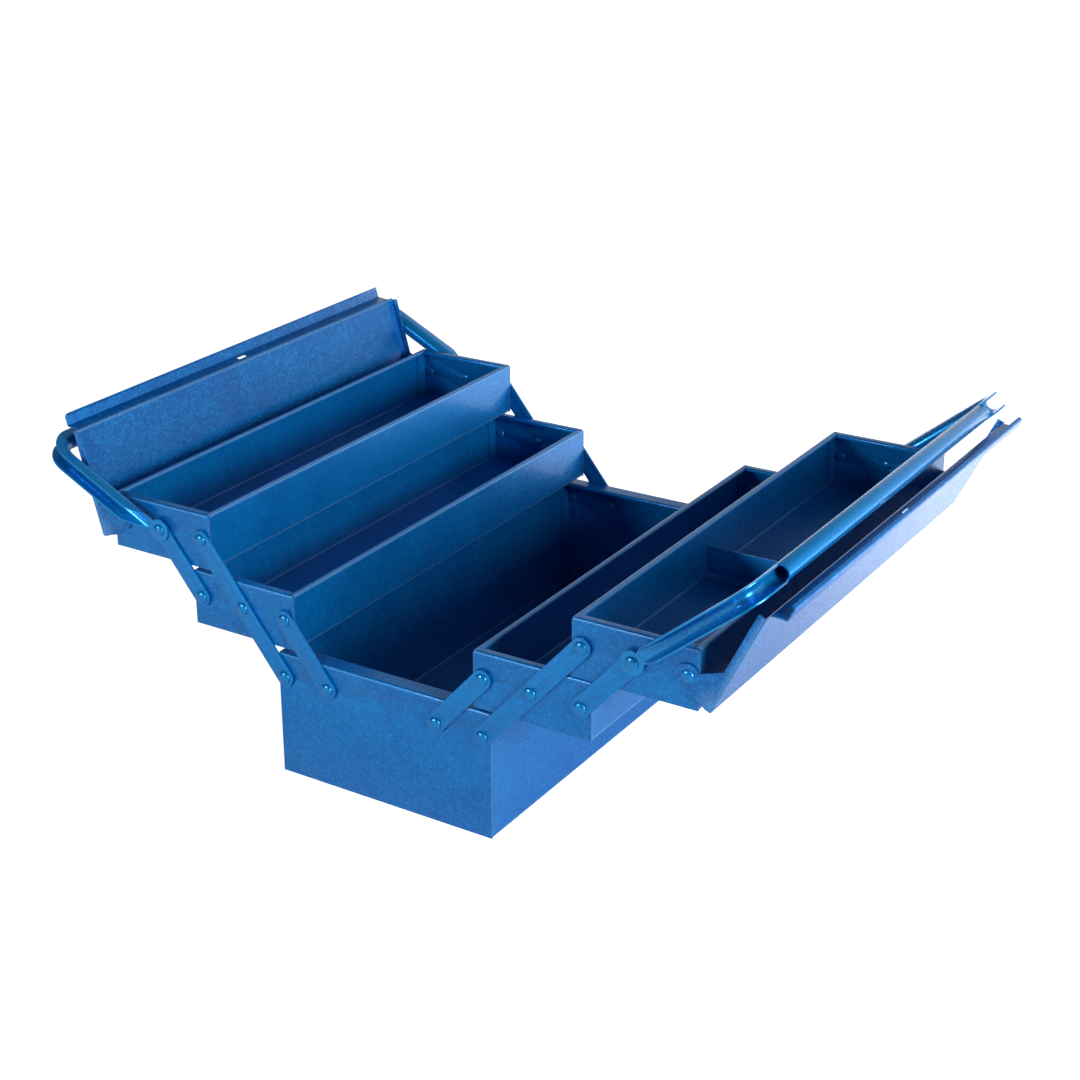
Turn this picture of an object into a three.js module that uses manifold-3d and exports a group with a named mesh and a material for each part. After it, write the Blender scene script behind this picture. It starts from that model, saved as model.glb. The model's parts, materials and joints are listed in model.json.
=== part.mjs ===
// Cantilever toolbox: a deep base box, two pairs of trays that fan out on riveted links,
// two hinged lids and two carrying handles. Millimetres, +Z up. X runs across the box,
// Y along its length (front end at -Y), Z = 0 is the floor the base stands on.
import * as THREE from 'three';
import { mergeVertices } from 'three/addons/utils/BufferGeometryUtils.js';
import Module from 'manifold-3d';

const wasm = await Module();
wasm.setup();

// ---- driving dimensions ----
const LENGTH = 445;             // base and trays, end face to end face
const BASE_WIDTH = 200;
const BASE_HEIGHT = 106.5;
const TRAY_HEIGHT = 47.2;
const SHEET = 1;                // sheet steel thickness
const GAP = 0.3;                // clearance between neighbouring pieces
const CENTRE_GAP = 0.6;         // closed tray wall to the middle of the box
const TRAY_OVERHANG = 1.6;      // closed tray beyond the base's side wall

// ---- folded edges ----
const RIM_FLANGE = 5;           // inward fold along the long walls
const RIM_LIP = 4;              // turn-down at the end of that fold
const TRAY_END_FLANGE = 6.5;
const BASE_END_FLANGE = 14;
const END_LIP = 3;
const CORNER_TAB = 12;          // tab that joins an end panel to a long wall

// ---- linkage ----
const LINK_WIDTH = 15.5;
const LINK_THICKNESS = 2;
const LINK_GAP = 0.4;           // end panel to link
const RIVET_INSET = 8.5;        // tray's side wall to its nearest rivets
const TRAY_RIVET_DROP = 21.9;   // tray rim down to the tray rivets
const BASE_CLEARANCE = 2.5;     // closed lower tray above the base's rim
const STACK_GAP = 1.1;          // closed upper tray above the lower tray's rim
const LEFT_OPEN_GAP = 2.9;      // the same gap with the left trays out
const RIGHT_OPEN_GAP = 0.75;    // and with the right trays out

// ---- rivets ----
const SHANK_RADIUS = 2.3;
const HEAD_RADIUS = 5.2;
const HEAD_HEIGHT = 2.4;
const TAIL_RADIUS = 4;
const TAIL_HEIGHT = 1.6;
const ROUND_SIDES = 14;

// ---- lids ----
const LID_CLEARANCE = 5.1;      // tray rim up to the closed lid's top face
const LID_OVERHANG = 5;         // closed lid beyond the tray's outer wall
const LID_SKIRT = 6;
const LID_RISE = 11.5;          // step up to the raised middle ridge
const LID_RISE_ANGLE = 70;
const RIDGE_WIDTH = 11;
const RIDGE_LIP = 3.5;
const RIDGE_INSET = 6;          // ridge stops short of each end of the lid
const LID_EDGE_GAP = 0.8;       // closed lid edge short of the tray's inner wall
const EAR_DEPTH = 6.5;
const EAR_BOSS = 9.5;
const HASP_SLOT_HEIGHT = 5;
const HASP_SLOT_LENGTH = 12;
const LEFT_LID_ANGLE = 74.4;    // opened lid above horizontal
const RIGHT_LID_ANGLE = 64.3;

// ---- handles ----
const HANDLE_REACH = 118;       // pivot to the middle of the grip
const GRIP_RADIUS = 7;
const HANDLE_WALL = 1.3;
const HANDLE_BEND = 19;
const BEND_STEPS = 6;
const EYE_RADIUS = 9.4;
const EYE_THICKNESS = 1.5;
const CHANNEL_DEPTH = 6.5;      // channel edges beyond the tube's middle line
const CHANNEL_START = 6;        // where the channel's edges begin to rise, past the pivot
const CHANNEL_FULL = 34;        // and where they reach full depth
const MOUTH_INSET = 25;         // end of the bend to the mouth of the closed grip
const MOUTH_TAPER = 13;         // channel edges run down to the mouth over this length
const MOUTH_EDGE = 2;           // what is left of them at the mouth
const LEFT_HANDLE_ANGLE = 26.3;   // opened handle above horizontal
const RIGHT_HANDLE_ANGLE = 39.4;

// ---- divider in the right upper tray ----
const DIVIDER_HEIGHT = 25;
const DIVIDER_FOOT = 9;
const DIVIDER_Y = -16;

// ---- sizes that follow ----
const END = LENGTH / 2;
const TRAY_WIDTH = BASE_WIDTH / 2 + TRAY_OVERHANG - CENTRE_GAP;
const PITCH = TRAY_WIDTH / 2 - RIVET_INSET;
const TRAY_RIVETS = [RIVET_INSET, RIVET_INSET + PITCH, RIVET_INSET + 2 * PITCH];
const TRAY_RIVET_HEIGHT = TRAY_HEIGHT - TRAY_RIVET_DROP;
const LINK_REACH = Math.hypot(PITCH, TRAY_HEIGHT + STACK_GAP);
const BASE_RIVET_X = CENTRE_GAP + TRAY_RIVETS[2];
const BASE_RIVET_Z = BASE_HEIGHT + BASE_CLEARANCE - TRAY_RIVET_DROP - STACK_GAP;
const HOLE_RADIUS = SHANK_RADIUS + GAP;
const LINK_INNER = END + LINK_GAP;
const LINK_OUTER = LINK_INNER + LINK_THICKNESS;
const EAR_OUTER = LINK_INNER + SHEET;
const EYE_INNER = LINK_OUTER + LINK_GAP;
const EYE_OUTER = EYE_INNER + EYE_THICKNESS;
const ARM_Y = EYE_INNER + GRIP_RADIUS;
const RIM_Y = ARM_Y + CHANNEL_DEPTH;
const MOUTH_Y = ARM_Y - HANDLE_BEND - MOUTH_INSET;
const LID_LIFT = TRAY_RIVET_DROP + LID_CLEARANCE;
const LID_OUTER_EDGE = RIVET_INSET + LID_OVERHANG;
const RISE_RUN = LID_RISE / Math.tan(THREE.MathUtils.degToRad(LID_RISE_ANGLE));
const LID_REACH = TRAY_WIDTH - RIVET_INSET - LID_EDGE_GAP - RISE_RUN - RIDGE_WIDTH;

// ---- colours: one blue enamel, each kind of piece a shade apart ----
const SHADES = {
  base: 0x1b66ad,
  lower: 0x1a62a8,
  upper: 0x1b68b0,
  lid: 0x1f70b8,
  handle: 0x2484c4,
  link: 0x2173bb,
  rivet: 0x2a7cc2,
  divider: 0x174f94,
};

const toolbox = new THREE.Group();
toolbox.name = 'cantilever_toolbox';

function rad(degrees) {
  return THREE.MathUtils.degToRad(degrees);
}

// ---- solids ----

function bareMesh(geometry) {
  const bare = geometry.clone();
  bare.deleteAttribute('normal');
  bare.deleteAttribute('uv');
  return mergeVertices(bare, 1e-4);
}

// Corners of every triangle that has three different corners.
function soundTriangles(index) {
  const kept = [];
  for (let i = 0; i < index.length; i += 3) {
    const [a, b, c] = [index[i], index[i + 1], index[i + 2]];
    if (a !== b && b !== c && c !== a) {
      kept.push(a, b, c);
    }
  }
  return kept;
}

function toSolid(geometry) {
  const merged = bareMesh(geometry);
  const vertProperties = new Float32Array(merged.attributes.position.array);
  const triVerts = new Uint32Array(soundTriangles(merged.index.array));
  return new wasm.Manifold(new wasm.Mesh({ numProp: 3, vertProperties, triVerts }));
}

function toGeometry(solid) {
  const mesh = solid.getMesh();
  const geometry = new THREE.BufferGeometry();
  geometry.setAttribute('position', new THREE.BufferAttribute(new Float32Array(mesh.vertProperties), 3));
  geometry.setIndex(new THREE.BufferAttribute(new Uint32Array(mesh.triVerts), 1));
  return geometry;
}

function joined(geometries) {
  return toGeometry(geometries.map(toSolid).reduce((whole, part) => whole.add(part)));
}

function cut(geometry, cutters) {
  return toGeometry(cutters.map(toSolid).reduce((whole, part) => whole.subtract(part), toSolid(geometry)));
}

// Mirror image across x = 0 or y = 0, with its triangles turned so they still face out.
function mirrored(geometry, axis) {
  const image = bareMesh(geometry);
  image.scale(axis === 'x' ? -1 : 1, axis === 'y' ? -1 : 1, 1);
  const index = image.index.array;
  for (let i = 0; i < index.length; i += 3) {
    [index[i + 1], index[i + 2]] = [index[i + 2], index[i + 1]];
  }
  return image;
}

function moved(geometry, x, z) {
  return geometry.clone().translate(x, 0, z);
}

// A shape drawn in the X-Z plane, pulled along Y from y0 to y1.
function prism(shape, y0, y1) {
  const geometry = new THREE.ExtrudeGeometry(shape, {
    depth: y1 - y0,
    bevelEnabled: false,
    curveSegments: ROUND_SIDES / 2,
  });
  return geometry.rotateX(Math.PI / 2).translate(0, y1, 0);
}

function block(x0, x1, y0, y1, z0, z1) {
  const geometry = new THREE.BoxGeometry(x1 - x0, y1 - y0, z1 - z0);
  return geometry.translate((x0 + x1) / 2, (y0 + y1) / 2, (z0 + z1) / 2);
}

function outline(points) {
  return new THREE.Shape(points.map(([x, z]) => new THREE.Vector2(x, z)));
}

function disc(radius) {
  return new THREE.Shape().absarc(0, 0, radius, 0, Math.PI * 2, false);
}

function roundHole(x, z) {
  return new THREE.Path().absarc(x, z, HOLE_RADIUS, 0, Math.PI * 2, true);
}

function turned(profile) {
  return new THREE.LatheGeometry(profile.map(([r, y]) => new THREE.Vector2(r, y)), ROUND_SIDES);
}

function leftNormal(from, to) {
  const dx = to[0] - from[0];
  const dz = to[1] - from[1];
  const length = Math.hypot(dx, dz);
  return [-dz / length, dx / length];
}

// The section of a bent sheet: its outer face follows the path, its thickness lies to the left.
function bentSheet(path, thickness) {
  const sides = path.slice(1).map((point, i) => leftNormal(path[i], point));
  const inner = path.map((point, i) => {
    const before = sides[Math.max(i - 1, 0)];
    const after = sides[Math.min(i, sides.length - 1)];
    const scale = thickness / (1 + before[0] * after[0] + before[1] * after[1]);
    return [point[0] + (before[0] + after[0]) * scale, point[1] + (before[1] + after[1]) * scale];
  });
  return outline([...path, ...inner.reverse()]);
}

// ---- pieces, built at the front end or symmetric about y = 0 ----

// Folded trough: floor and two long walls with turned-in rims. Local x runs 0 to width.
function troughBody(width, height) {
  const path = [
    [RIM_FLANGE, height - RIM_LIP],
    [RIM_FLANGE, height],
    [0, height],
    [0, 0],
    [width, 0],
    [width, height],
    [width - RIM_FLANGE, height],
    [width - RIM_FLANGE, height - RIM_LIP],
  ];
  const reach = END - SHEET - GAP;
  return prism(bentSheet(path, SHEET), -reach, reach);
}

// End panel: plate, turned-in top flange and a tab down each long wall.
function endPanel(width, height, flange, holes) {
  const plate = outline([[0, 0], [width, 0], [width, height], [0, height]]);
  plate.holes.push(...holes.map(([x, z]) => roundHole(x, z)));
  const inside = -END + SHEET;
  const rim = RIM_FLANGE + GAP;
  const wall = SHEET + GAP;
  const tabTop = height - RIM_LIP - SHEET;
  const buried = inside - SHEET / 2;
  const edge = inside + flange;
  return joined([
    prism(plate, -END, inside),
    block(rim, width - rim, buried, edge, height - SHEET, height),
    block(rim, width - rim, edge - SHEET, edge, height - END_LIP, height - SHEET / 2),
    block(wall, wall + SHEET, buried, inside + CORNER_TAB, 2 * SHEET, tabTop),
    block(width - wall - SHEET, width - wall, buried, inside + CORNER_TAB, 2 * SHEET, tabTop),
  ]);
}

// Domed rivet: a tail behind the panel, a shank out to the stated face and a head on it.
function rivet(x, z, outerFace) {
  const start = END - SHEET - GAP;
  const seat = outerFace + GAP - start;
  const geometry = turned([
    [0, -TAIL_HEIGHT],
    [TAIL_RADIUS, -TAIL_HEIGHT],
    [TAIL_RADIUS, 0],
    [SHANK_RADIUS, 0],
    [SHANK_RADIUS, seat],
    [HEAD_RADIUS, seat],
    [HEAD_RADIUS * 0.86, seat + HEAD_HEIGHT * 0.55],
    [HEAD_RADIUS * 0.5, seat + HEAD_HEIGHT * 0.9],
    [0, seat + HEAD_HEIGHT],
  ]);
  return toGeometry(toSolid(geometry.rotateX(Math.PI).translate(x, -start, z)));
}

// Flat bar with rounded ends and a hole for each rivet.
function link(points) {
  const [first, last] = [points[0], points[points.length - 1]];
  const along = Math.atan2(last[1] - first[1], last[0] - first[0]);
  const shape = new THREE.Shape();
  shape.absarc(...first, LINK_WIDTH / 2, along + Math.PI / 2, along + Math.PI * 1.5, false);
  shape.absarc(...last, LINK_WIDTH / 2, along - Math.PI / 2, along + Math.PI / 2, false);
  shape.holes.push(...points.map(([x, z]) => roundHole(x, z)));
  return prism(shape, -LINK_OUTER, -LINK_INNER);
}

// Folded lid sheet, closed, measured from its hinge: local x grows towards the middle of the box.
function lidSheet() {
  const ridge = LID_LIFT + LID_RISE;
  const edge = LID_REACH + RISE_RUN + RIDGE_WIDTH;
  const path = [
    [edge, ridge - RIDGE_LIP],
    [edge, ridge],
    [LID_REACH + RISE_RUN, ridge],
    [LID_REACH, LID_LIFT],
    [-LID_OUTER_EDGE, LID_LIFT],
    [-LID_OUTER_EDGE, LID_LIFT - LID_SKIRT],
  ];
  return prism(bentSheet(path, SHEET), -EAR_OUTER, EAR_OUTER);
}

// Side ear of the lid: a shallow flange that widens into the hinge boss.
function lidEar() {
  const top = LID_LIFT - SHEET / 2;
  const flange = LID_LIFT - EAR_DEPTH;
  const shape = new THREE.Shape();
  shape.moveTo(-LID_OUTER_EDGE, top);
  shape.lineTo(-LID_OUTER_EDGE, flange - EAR_BOSS);
  shape.absarc(0, 0, EAR_BOSS, rad(170), rad(400), false);
  shape.lineTo(2.2 * EAR_BOSS, flange);
  shape.lineTo(LID_REACH - SHEET, flange);
  shape.lineTo(LID_REACH, top);
  return prism(shape, -EAR_OUTER, -LINK_INNER);
}

// The hinge rivet is set fast in the ear, so it belongs to the lid.
function lidPin() {
  const start = END - SHEET - GAP;
  const seat = EAR_OUTER - SHEET / 2 - start;
  const geometry = turned([
    [0, -TAIL_HEIGHT],
    [TAIL_RADIUS, -TAIL_HEIGHT],
    [TAIL_RADIUS, 0],
    [SHANK_RADIUS, 0],
    [SHANK_RADIUS, seat],
    [HEAD_RADIUS, seat],
    [HEAD_RADIUS, seat + SHEET / 2],
    [HEAD_RADIUS * 0.6, seat + SHEET / 2 + HEAD_HEIGHT * 0.7],
    [0, seat + SHEET / 2 + HEAD_HEIGHT * 0.85],
  ]);
  return geometry.rotateX(Math.PI).translate(0, -start, 0);
}

function lid() {
  const ends = [lidEar(), lidPin()];
  const whole = joined([lidSheet(), ...ends, ...ends.map((piece) => mirrored(piece, 'y'))]);
  const slotBottom = LID_LIFT + (LID_RISE - HASP_SLOT_HEIGHT) / 2;
  const half = HASP_SLOT_LENGTH / 2;
  const slot = block(LID_REACH - RISE_RUN, LID_REACH + 2 * RISE_RUN, -half, half,
    slotBottom, slotBottom + HASP_SLOT_HEIGHT);
  const corner = block(LID_REACH - SHEET, TRAY_WIDTH, -EAR_OUTER - SHEET, -EAR_OUTER + RIDGE_INSET,
    LID_LIFT, LID_LIFT + 2 * LID_RISE);
  return cut(whole, [slot, corner, mirrored(corner, 'y')]);
}

// A path given by its stations: every section sits on a station, square to its heading.
class StationPath extends THREE.Curve {
  constructor(stations) {
    super();
    this.stations = stations;
  }

  getPointAt(u, target = new THREE.Vector3()) {
    return target.copy(this.nearest(u).point);
  }

  getTangentAt(u, target = new THREE.Vector3()) {
    return target.copy(this.nearest(u).heading);
  }

  nearest(u) {
    return this.stations[Math.round(u * (this.stations.length - 1))];
  }
}

// Along the front arm, round its bend and up to the mouth of the grip, in the handle's own
// plane (z = 0, pivot at x = 0).
function armStations(armStart) {
  const station = (x, y, turn) => ({
    point: new THREE.Vector3(x, y, 0),
    heading: new THREE.Vector3(Math.cos(turn), Math.sin(turn), 0),
  });
  const stations = [station(armStart, -ARM_Y, 0)];
  for (let i = 0; i <= BEND_STEPS; i += 1) {
    const turn = (i / BEND_STEPS) * Math.PI / 2;
    const x = HANDLE_REACH - HANDLE_BEND * (1 - Math.sin(turn));
    stations.push(station(x, -ARM_Y + HANDLE_BEND * (1 - Math.cos(turn)), turn));
  }
  return [...stations, station(HANDLE_REACH, -MOUTH_Y + SHEET, Math.PI / 2)];
}

// The arm is the same tube left open along its outer side, with its edges standing straight.
function openArm() {
  const bore = GRIP_RADIUS - HANDLE_WALL;
  const section = new THREE.Shape();
  section.moveTo(GRIP_RADIUS, -CHANNEL_DEPTH);
  section.absarc(0, 0, GRIP_RADIUS, 0, Math.PI, false);
  section.lineTo(-GRIP_RADIUS, -CHANNEL_DEPTH);
  section.lineTo(-bore, -CHANNEL_DEPTH);
  section.absarc(0, 0, bore, Math.PI, 0, true);
  section.lineTo(bore, -CHANNEL_DEPTH);
  section.closePath();
  const stations = armStations(EYE_RADIUS / 2);
  return new THREE.ExtrudeGeometry(section, {
    steps: stations.length - 1,
    extrudePath: new StationPath(stations),
    bevelEnabled: false,
    curveSegments: ROUND_SIDES / 2,
  });
}

// Everything beyond the channel's edges: they rise from the pivot eye and run down to the mouth.
function channelCutter() {
  const start = -2 * EYE_RADIUS;
  const end = HANDLE_REACH + 3 * GRIP_RADIUS;
  const far = -ARM_Y - 3 * GRIP_RADIUS;
  const edge = HANDLE_REACH + GRIP_RADIUS;
  const shape = outline([
    [start, -EYE_OUTER],
    [CHANNEL_START, -EYE_OUTER],
    [CHANNEL_FULL, -RIM_Y],
    [CHANNEL_FULL, far],
    [start, far],
  ]);
  const mouth = outline([
    [edge, -MOUTH_Y - MOUTH_TAPER],
    [HANDLE_REACH + MOUTH_EDGE, -MOUTH_Y],
    [HANDLE_REACH + MOUTH_EDGE, -MOUTH_Y + 2 * SHEET],
    [end, -MOUTH_Y + 2 * SHEET],
    [end, -MOUTH_Y - MOUTH_TAPER],
  ]);
  return [shape, mouth].map((flat) => new THREE.ExtrudeGeometry(flat, {
    depth: 4 * GRIP_RADIUS,
    bevelEnabled: false,
  }).translate(0, 0, -2 * GRIP_RADIUS));
}

function grip() {
  const ring = disc(GRIP_RADIUS);
  ring.holes.push(new THREE.Path().absarc(0, 0, GRIP_RADIUS - HANDLE_WALL, 0, Math.PI * 2, true));
  const geometry = new THREE.ExtrudeGeometry(ring, {
    depth: 2 * MOUTH_Y,
    bevelEnabled: false,
    curveSegments: ROUND_SIDES,
  });
  return geometry.rotateX(-Math.PI / 2).translate(HANDLE_REACH, -MOUTH_Y, 0);
}

function handle() {
  const arm = cut(openArm(), channelCutter());
  const eye = prism(disc(EYE_RADIUS), -EYE_OUTER, -EYE_INNER);
  const hole = prism(disc(HOLE_RADIUS), -ARM_Y, ARM_Y);
  return cut(joined([grip(), arm, mirrored(arm, 'y'), eye, mirrored(eye, 'y')]), [hole]);
}

// Low cross wall with a foot folded towards the front, between a tray's long walls.
function divider() {
  const side = SHEET + GAP;
  const section = outline([
    [0, 0],
    [0, DIVIDER_HEIGHT],
    [-SHEET, DIVIDER_HEIGHT],
    [-SHEET, SHEET],
    [-DIVIDER_FOOT, SHEET],
    [-DIVIDER_FOOT, 0],
  ]);
  const geometry = new THREE.ExtrudeGeometry(section, { depth: TRAY_WIDTH - 2 * side, bevelEnabled: false });
  const [alongY, alongZ] = [new THREE.Vector3(0, 1, 0), new THREE.Vector3(0, 0, 1)];
  geometry.applyMatrix4(new THREE.Matrix4().makeBasis(alongY, alongZ, new THREE.Vector3(1, 0, 0)));
  return geometry.translate(side, DIVIDER_Y, side);
}

// ---- assembly ----

function addPiece(name, geometry, shade) {
  const mesh = new THREE.Mesh(
    geometry.index ? geometry.toNonIndexed() : geometry,
    new THREE.MeshStandardMaterial({ color: SHADES[shade], roughness: 0.38, metalness: 0.35 }),
  );
  mesh.geometry.computeVertexNormals();
  mesh.material.name = name;
  mesh.name = name;
  toolbox.add(mesh);
}

function addBase() {
  const half = BASE_WIDTH / 2;
  const offsets = [BASE_RIVET_X, BASE_RIVET_X - PITCH];
  const holes = [...offsets, ...offsets.map((x) => -x)].map((x) => [half + x, BASE_RIVET_Z]);
  const panel = moved(endPanel(BASE_WIDTH, BASE_HEIGHT, BASE_END_FLANGE, holes), -half, 0);
  addPiece('base_body', moved(troughBody(BASE_WIDTH, BASE_HEIGHT), -half, 0), 'base');
  addPiece('base_front_end', panel, 'base');
  addPiece('base_rear_end', mirrored(panel, 'y'), 'base');
}

// Where the two opened trays stand (inner lower corner of each) with the given gap between them.
function traySpots(openGap) {
  const up = TRAY_HEIGHT + openGap;
  const out = Math.sqrt(LINK_REACH ** 2 - up ** 2);
  const [inner, middle] = TRAY_RIVETS;
  const floor = BASE_RIVET_Z - TRAY_RIVET_HEIGHT;
  return {
    lower: [BASE_RIVET_X + out - middle, floor + up],
    upper: [BASE_RIVET_X + 2 * out - inner, floor + 2 * up],
  };
}

function rivetSpots(spots) {
  const [inner, middle, outer] = TRAY_RIVETS;
  const on = ([x, z], offset) => [x + offset, z + TRAY_RIVET_HEIGHT];
  return {
    base_outer: [BASE_RIVET_X, BASE_RIVET_Z],
    base_inner: [BASE_RIVET_X - PITCH, BASE_RIVET_Z],
    lower_inner: on(spots.lower, inner),
    lower_middle: on(spots.lower, middle),
    lower_outer: on(spots.lower, outer),
    upper_inner: on(spots.upper, inner),
    upper_middle: on(spots.upper, middle),
  };
}

// One side is worked out reaching towards +X; the left side is its mirror image.
function addSide(side, openGap, lidAngle, handleAngle) {
  const spots = traySpots(openGap);
  const rivets = rivetSpots(spots);
  const add = (name, geometry, shade) => {
    addPiece(name, side === 'left' ? mirrored(geometry, 'x') : geometry, shade);
  };
  const addBothEnds = (nameFor, geometry, shade) => {
    add(nameFor('front'), geometry, shade);
    add(nameFor('rear'), mirrored(geometry, 'y'), shade);
  };

  for (const level of ['lower', 'upper']) {
    const holes = TRAY_RIVETS.map((x) => [x, TRAY_RIVET_HEIGHT]);
    const panel = endPanel(TRAY_WIDTH, TRAY_HEIGHT, TRAY_END_FLANGE, holes);
    add(`${side}_${level}_tray_body`, moved(troughBody(TRAY_WIDTH, TRAY_HEIGHT), ...spots[level]), level);
    addBothEnds((end) => `${side}_${level}_tray_${end}_end`, moved(panel, ...spots[level]), level);
  }

  const links = {
    long: [rivets.base_outer, rivets.lower_middle, rivets.upper_inner],
    inner: [rivets.base_inner, rivets.lower_inner],
    outer: [rivets.lower_outer, rivets.upper_middle],
  };
  for (const [name, points] of Object.entries(links)) {
    addBothEnds((end) => `${side}_${end}_${name}_link`, link(points), 'link');
  }
  for (const [name, [x, z]] of Object.entries(rivets)) {
    const face = name === 'upper_middle' ? EYE_OUTER : LINK_OUTER;
    addBothEnds((end) => `${side}_${end}_${name}_rivet`, rivet(x, z, face), 'rivet');
  }

  const hinge = [spots.upper[0] + TRAY_RIVETS[2], spots.upper[1] + TRAY_RIVET_HEIGHT];
  const openLid = mirrored(lid(), 'x').rotateY(Math.PI - rad(lidAngle));
  add(`${side}_lid`, moved(openLid, ...hinge), 'lid');
  add(`${side}_handle`, moved(handle().rotateY(-rad(handleAngle)), ...rivets.upper_middle), 'handle');
  if (side === 'right') {
    add('right_upper_tray_divider', moved(divider(), ...spots.upper), 'divider');
  }
}

addBase();
addSide('left', LEFT_OPEN_GAP, LEFT_LID_ANGLE, LEFT_HANDLE_ANGLE);
addSide('right', RIGHT_OPEN_GAP, RIGHT_LID_ANGLE, RIGHT_HANDLE_ANGLE);

export default toolbox;
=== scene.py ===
"""Blue hammer-enamelled cantilever toolbox: folded sheet trays, lids and tube handles, riveted links."""
import json
import math

import bmesh
import bpy
from mathutils import Matrix, Vector


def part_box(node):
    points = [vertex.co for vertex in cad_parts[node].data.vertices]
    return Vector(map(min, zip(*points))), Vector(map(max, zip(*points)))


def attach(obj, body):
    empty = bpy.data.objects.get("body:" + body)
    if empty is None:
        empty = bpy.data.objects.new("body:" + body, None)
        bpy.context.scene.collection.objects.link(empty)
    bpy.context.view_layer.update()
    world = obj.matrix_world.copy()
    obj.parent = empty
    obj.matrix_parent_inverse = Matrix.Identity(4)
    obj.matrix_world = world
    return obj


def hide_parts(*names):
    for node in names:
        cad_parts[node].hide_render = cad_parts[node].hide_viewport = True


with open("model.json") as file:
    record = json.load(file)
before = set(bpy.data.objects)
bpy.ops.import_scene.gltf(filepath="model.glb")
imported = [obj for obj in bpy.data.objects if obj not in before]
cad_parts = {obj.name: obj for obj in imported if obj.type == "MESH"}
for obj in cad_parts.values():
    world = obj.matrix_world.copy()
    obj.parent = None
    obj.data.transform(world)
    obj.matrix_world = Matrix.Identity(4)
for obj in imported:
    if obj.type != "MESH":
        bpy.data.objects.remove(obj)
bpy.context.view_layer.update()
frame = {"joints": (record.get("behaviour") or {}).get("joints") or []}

MM = 0.001
SIDES = (("left", -1), ("right", 1))
ENDS = (("front", -1), ("rear", 1))

# ---- sheet and folds, in millimetres ----
SHEET = 1.0
BEND = 1.7             # outside radius of a fold
TIGHT_BEND = 0.5       # outside radius where a sheet folds back on its own far side
GAP = 0.3
RIM_FLANGE = 5.0
RIM_LIP = 4.0
TRAY_END_FLANGE = 6.5
BASE_END_FLANGE = 14.0
END_LIP = 3.0
CORNER_TAB = 12.0
CORNER_NOTCH = 2.2
HOLE_RADIUS = 2.6
FOLD_FADE = 1.2        # how far the painted fold highlight reaches from a fold

# ---- lids ----
LID_SKIRT = 6.0
LID_RISE = 11.5
LID_RISE_ANGLE = math.radians(70)
RIDGE_WIDTH = 11.0
RIDGE_LIP = 3.5
RIDGE_CURL = 2.6
RIDGE_INSET = 6.0
LID_CLEARANCE = 5.1
LID_OVERHANG = 5.0
LID_EDGE_GAP = 0.8
EAR_DEPTH = 6.5
EAR_BOSS = 9.5
HASP_SLOT = (5.0, 12.0)
LID_ANGLE = {"left": 74.4, "right": 64.3}

# ---- handles ----
HANDLE_REACH = 118.0
GRIP_RADIUS = 7.0
HANDLE_WALL = 1.3
HANDLE_BEND = 19.0
CHANNEL_DEPTH = 6.5
EYE_RADIUS = 9.4
EYE_THICKNESS = 1.5
CHANNEL_START = 6.0
CHANNEL_FULL = 34.0
MOUTH_INSET = 25.0
MOUTH_TAPER = 13.0
MOUTH_EDGE = 2.0
HANDLE_ANGLE = {"left": 26.3, "right": 39.4}

# ---- links and rivets ----
LINK_WIDTH = 15.5
LINK_THICKNESS = 2.0
LINK_GAP = 0.4
HEAD_RADIUS = 5.2
HEAD_HEIGHT = 2.4
SHANK_RADIUS = 2.3
TAIL_RADIUS = 4.0
TAIL_HEIGHT = 1.6

# ---- stage: angles in degrees, lengths in metres, light power in watts ----
CAMERA_ANGLES = (34.67, 21.3, -1.21)       # azimuth, elevation, roll
CAMERA_TARGET = (-0.21334, 0.17065, 0.1)
CAMERA_DISTANCE = 1.98048
CAMERA_LENS = 68.1
CAMERA_SHIFT = (0.0930, -0.0582)
FLOOR_REACH = 40.0
FLOOR_COLOUR = (0.88, 0.88, 0.88, 1)
FLOOR_GLOW = 0.8                           # straight to the camera
BACKDROP_GLOW = 1.6                        # in reflections, behind the box and to its right
BACKDROP_START, BACKDROP_FULL = 0.15, 0.75
LIGHT_AIM_HEIGHT = 0.12
LIGHTS = (                                 # azimuth, elevation, distance, size, power
    ("key_softbox", -22, 20, 1.9, 0.5, 18),
    ("fill_softbox", 74, 20, 2.2, 0.8, 52),
)
WORLD_FRONT, WORLD_BACK, WORLD_OVERHEAD = 0.12, 0.8, 0.3

# ---- taken from the frame, in millimetres ----
pivots = {j["name"]: (j["pos_m"][0] / MM, j["pos_m"][2] / MM) for j in frame["joints"]}


def box_mm(node):
    low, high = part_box(node)
    return low / MM, high / MM


END = -box_mm("base_front_end")[0].y
LINK_INNER = END + LINK_GAP
LINK_OUTER = LINK_INNER + LINK_THICKNESS
EAR_OUTER = LINK_INNER + SHEET
EYE_INNER = LINK_OUTER + LINK_GAP
EYE_OUTER = EYE_INNER + EYE_THICKNESS
ARM_Y = EYE_INNER + GRIP_RADIUS
RIM_Y = ARM_Y + CHANNEL_DEPTH
MOUTH_Y = ARM_Y - HANDLE_BEND - MOUTH_INSET
TAIL_PLANE = END - SHEET - GAP


# ============================ outlines ============================

def unit(a, b):
    d = Vector((b[0] - a[0], b[1] - a[1]))
    return d.normalized()


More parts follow.
